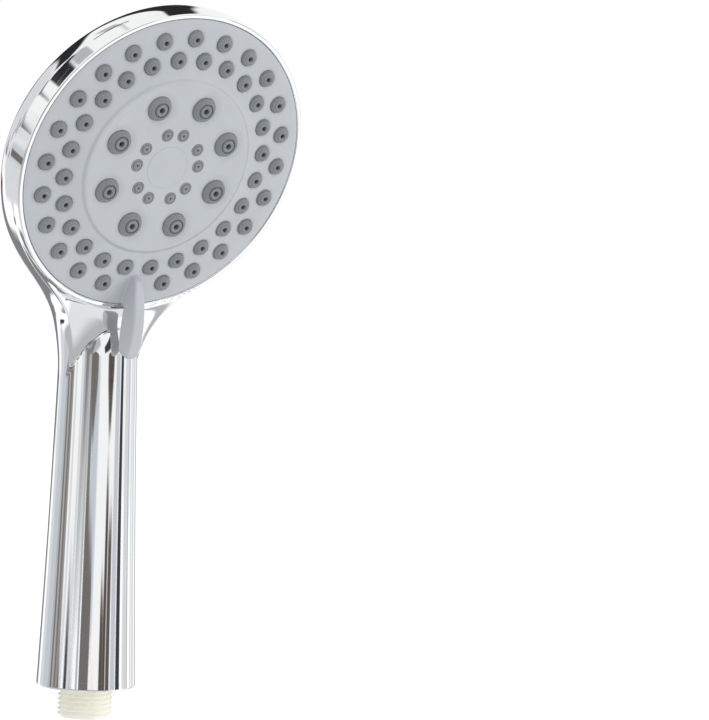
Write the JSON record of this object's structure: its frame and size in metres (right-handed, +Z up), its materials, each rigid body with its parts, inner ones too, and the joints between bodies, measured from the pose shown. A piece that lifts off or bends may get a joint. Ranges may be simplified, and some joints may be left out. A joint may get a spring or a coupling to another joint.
{
  "type": "handheld shower head",
  "caption": "Chrome handheld shower head with a round domed head, a tapered handle with a threaded inlet, and a grey multi-spray face turned by a small lever.",
  "frame": {"origin": "centre of the end face of the inlet thread, on the handle's axis", "axes": "+Z up the handle toward the head, -Y the side that the spray face looks to, +X to the right seen from the back"},
  "size_m": [0.12, 0.0809, 0.2723],
  "materials": {
    "chrome": "polished chrome plating on plastic",
    "cream_plastic": "natural cream ABS, satin",
    "face_grey": "pale bluish grey, satin",
    "nozzle_silicone": "mid grey silicone, matt",
    "mist_grey": "mid grey, satin",
    "inner_plastic": "natural moulded plastic",
    "white_plastic": "acetal, matt",
    "blue_plastic": "matt",
    "black_rubber": "matt",
    "steel": "stainless steel"
  },
  "bodies": {
    "body": {"outer_shell": "chrome", "water_tube": "cream_plastic", "tube_o_rings": "black_rubber", "inlet_filter": "white_plastic", "flow_restrictor": "blue_plastic", "restrictor_o_ring": "black_rubber", "valve_base": "inner_plastic", "base_screws": "steel", "hub_o_ring": "black_rubber", "port_seal": "black_rubber", "seal_spring": "steel", "detent_spring": "steel", "hub_screw": "steel", "hub_washer": "steel"},
    "detent": {"detent_pin": "white_plastic"},
    "selector": {"face_plate": "face_grey", "centre_cap": "face_grey", "rain_nozzle_mat": "nozzle_silicone", "power_nozzle_mat": "nozzle_silicone", "mist_nozzles": "mist_grey", "swirl_cores": "white_plastic", "chamber_plate": "inner_plastic", "chamber_seal": "black_rubber", "port_plate": "inner_plastic", "plate_screws": "steel", "jet_ring": "inner_plastic"},
    "rotor": {"turbine": "white_plastic"}
  },
  "joints": [
    {"name": "selector_turn", "type": "hinge", "parent": "body", "child": "selector", "pos_m": [0, -0.0432, 0.2121], "axis": [0, -0.9291, -0.3697], "range_deg": [-60, 60]},
    {"name": "detent_slide", "type": "slide", "parent": "body", "child": "detent", "axis": [0, -0.9291, -0.3697], "range_m": [0, 0.0009], "stiffness_N_per_m": 300, "springref_m": 0.0009},
    {"name": "turbine_spin", "type": "hinge", "parent": "selector", "child": "rotor", "pos_m": [0, -0.0432, 0.2121], "axis": [0, -0.9291, -0.3697], "continuous": true}
  ]
}
